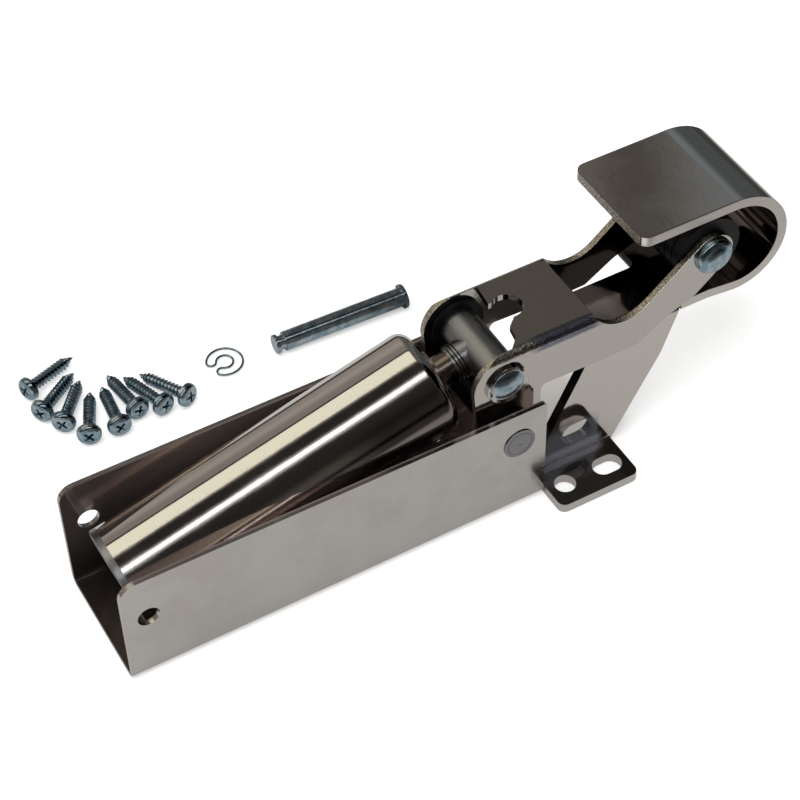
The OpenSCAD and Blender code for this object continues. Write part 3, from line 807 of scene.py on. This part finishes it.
# %% [markdown]
# The cross recess is cut with a Boolean modifier. Its cutter is two crossed wedges, each a cube whose inner end
# is narrowed, as the driver's tip is. The fast solver keeps the head whole but leaves a small hole and a few
# turned faces, so the hole is filled and the faces are turned back.

# %% Cross recess
WEDGE, WEDGE_MIDDLE = (5.9 * MM, 1.35 * MM, 2.8 * MM), -2.3 * MM
WEDGE_TIP, INNER_END = 0.3, -1 * MM


def wedge(turned):
    alone()
    bpy.ops.mesh.primitive_cube_add(size=1, location=(0, 0, WEDGE_MIDDLE), rotation=(0, 0, turned))
    bpy.context.object.scale = WEDGE
    piece = added("wedge")
    edit()
    pick(lambda p: p.z > WEDGE_MIDDLE)
    bpy.ops.transform.resize(value=(WEDGE_TIP, WEDGE_TIP, 1), center_override=(0, 0, INNER_END))
    done()
    return piece


for cutter in [wedge(0), wedge(math.pi / 2)]:
    alone(pan)
    cut_out = pan.modifiers.new("recess", "BOOLEAN")
    cut_out.operation = "DIFFERENCE"
    cut_out.solver = "FAST"
    cut_out.object = cutter
    apply_modifiers(pan)
    bpy.data.objects.remove(cutter)
edit()
fill_holes()
face_outwards()
done()
print("head faces:", len(pan.data.polygons))

# %% [markdown]
# Head and shank become one screw. The shank is pushed a little way into the head first,
# so that the two meshes overlap and no gap can show under the rim.

# %% One screw
SMOOTH_BELOW, INTO_HEAD = math.radians(32), 0.3 * MM

shank.data.transform(Matrix.Translation((0, 0, -INTO_HEAD)))
alone(shank, pan)
bpy.ops.object.join()
bpy.ops.object.shade_smooth_by_angle(angle=SMOOTH_BELOW)
pan.data.materials.append(blue_zinc.material)
print("screw points:", len(pan.data.vertices))

# %% [markdown]
# The screw is copied eight times, each copy with its own mesh, and laid down in the fan in which the set lies.
# A screw on a flat surface rests on its head's rim and its point, so it leans by 5.6 degrees.
# Each line of the list gives a head's place in millimetres, the way the screw points and how it has rolled.

# %% Eight screws
REST_HEIGHT, TIPPED = 4.7 * MM, math.radians(90 + 5.6)
SCREWS = [(-59, 112.8, 22.5, 20), (-59.1, 100.1, 37, 62), (-54.6, 91.2, 51.8, 35), (-49.1, 80.9, 66, 45),
          (-37.8, 79.4, 83.2, 44), (-28.7, 83.7, 95.8, 20), (-19.7, 80.6, 106.4, 25), (-10.2, 80.2, 116.4, 10)]

for number, (x, y, heading, rolled) in enumerate(SCREWS, 1):
    alone(pan)
    bpy.ops.object.duplicate(linked=False)
    screw = bpy.context.object
    screw.name = f"screw_{number}"
    screw.matrix_world = (Matrix.Translation((x * MM, y * MM, REST_HEIGHT))
                          @ Matrix.Rotation(math.radians(heading), 4, "Z") @ Matrix.Rotation(TIPPED, 4, "Y")
                          @ Matrix.Rotation(math.radians(rolled), 4, "Z"))
    place_in_mesh()
    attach(screw, "chassis")
    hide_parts("fixing_screws")
bpy.data.objects.remove(pan)
print("screws:", len(SCREWS))

# %% [markdown]
# The clip is a ring of round wire bent back into itself, which snaps into the clevis pin's groove.
# A small circle is spun along four arcs in turn, each about its own centre, and the last one meets the first.
# Without a window, spin turns clockwise for a positive angle, so its angle is given with a minus sign.

# %% Wire clip
WIRE_R, OUT_R, IN_R = 0.45 * MM, 7 * MM, 3.3 * MM
SWEEP = math.radians(284)
MID_R, CENTRE = (OUT_R + IN_R) / 2, (0, 0, 0)
ARCS = [(CENTRE, SWEEP, 56), ((MID_R * math.cos(SWEEP), MID_R * math.sin(SWEEP), 0), math.pi, 12),
        (CENTRE, -SWEEP, 36), ((MID_R, 0, 0), math.pi, 12)]

alone()
bpy.ops.mesh.primitive_circle_add(vertices=14, radius=WIRE_R, location=(OUT_R, 0, 0),
                                  rotation=(math.pi / 2, 0, 0))
clip = added("wire_clip")
edit()
bpy.ops.mesh.select_all(action="SELECT")
for centre, angle, steps in ARCS:
    bpy.ops.mesh.spin(steps=steps, angle=-angle, center=centre, axis=(0, 0, 1))
merge()
face_outwards()
done()
bpy.ops.object.shade_smooth()
print("clip points:", len(clip.data.vertices), "box:", [round(v / MM, 1) for v in clip.dimensions])

# %% [markdown]
# The clip is laid flat on the paper, a little way from the clevis pin that it belongs to. A matrix turns and
# moves it, and its place is then written into its mesh, as the export expects of every finished piece.

# %% Clip laid down
CLIP_AT, CLIP_TURN = (11.4 * MM, 91.6 * MM, 0.55 * MM), math.radians(233)

clip.matrix_world = Matrix.Translation(CLIP_AT) @ Matrix.Rotation(CLIP_TURN, 4, "Z")
place_in_mesh()
clip.data.materials.append(blue_zinc.material)
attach(clip, "chassis")
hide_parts("pin_clip")
print("clip at", [round(v / MM, 1) for v in CLIP_AT])

# %% [markdown]
# The eye is screwed onto the piston rod, and a few turns of its thread show between the barrel and the cylinder.
# The same thread helper makes them, at a finer pitch, and a matrix lays them on the damper's leaning axis.

# %% Thread of the rod eye
STEM_R, STEM_CORE_R, STEM_PITCH, STEM_TURNS = 7.05 * MM, 6.45 * MM, 1.2 * MM, 3
STEM_BEHIND = 11.2 * MM

low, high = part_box("rod_pin")
pin_x, pin_z = middle(low, high)
stem = thread("eye_thread", STEM_CORE_R, STEM_R, STEM_PITCH, STEM_TURNS, 40)
bpy.ops.object.shade_smooth_by_angle(angle=SMOOTH_BELOW)
stem.matrix_world = (Matrix.Translation((pin_x, 0, pin_z)) @ Matrix.Rotation(math.pi / 2 - LEAN, 4, "Y")
                     @ Matrix.Translation((0, 0, -STEM_BEHIND)))
place_in_mesh()
stem.data.materials.append(oiled_steel.material)
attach(stem, "rod")
print("rod pin at", round(pin_x / MM, 1), round(pin_z / MM, 1), "thread points:", len(stem.data.vertices))

# %% [markdown]
# The axle's ends were riveted over, which leaves a crowned button on each arm. A short cylinder gets its rim
# bevelled in many steps, and three rings, each a little higher than the last, carry the crown to the middle.

# %% Riveted buttons on the axle
BUTTON_R, BUTTON_DEPTH, BUTTON_SUNK, BUTTON_ROUNDING = 7.25 * MM, 2.6 * MM, 2.3 * MM, 2.1 * MM
CROWN = [(1.2 * MM, 0.5 * MM), (1.4 * MM, 0.35 * MM), (1.2 * MM, 0.12 * MM)]

low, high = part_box("roller_axle")
for label, outer, way in (("near", low[1], -1), ("far", high[1], 1)):
    alone()
    face = outer - way * BUTTON_SUNK
    bpy.ops.mesh.primitive_cylinder_add(vertices=48, radius=BUTTON_R, depth=BUTTON_DEPTH,
                                        location=(axle_at[0], face + way * BUTTON_DEPTH / 2, axle_at[1]),
                                        rotation=(math.pi / 2, 0, 0))
    button = added(f"axle_button_{label}")
    edit()
    pick(lambda p: way * (p.y - face) > BUTTON_DEPTH / 2)
    bpy.ops.mesh.bevel(offset=BUTTON_ROUNDING, segments=8, profile=0.5, affect="EDGES")
    pick(lambda p: way * (p.y - face) > BUTTON_DEPTH - 0.02 * MM)
    for width, rise in CROWN:
        bpy.ops.mesh.inset(thickness=width)
        bpy.ops.transform.translate(value=(0, way * rise, 0))
    face_outwards()
    done()
    bpy.ops.object.shade_smooth_by_angle(angle=math.radians(40))
    button.data.materials.append(blue_zinc.material)
    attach(button, "lever")
    print(button.name, "faces:", len(button.data.polygons))
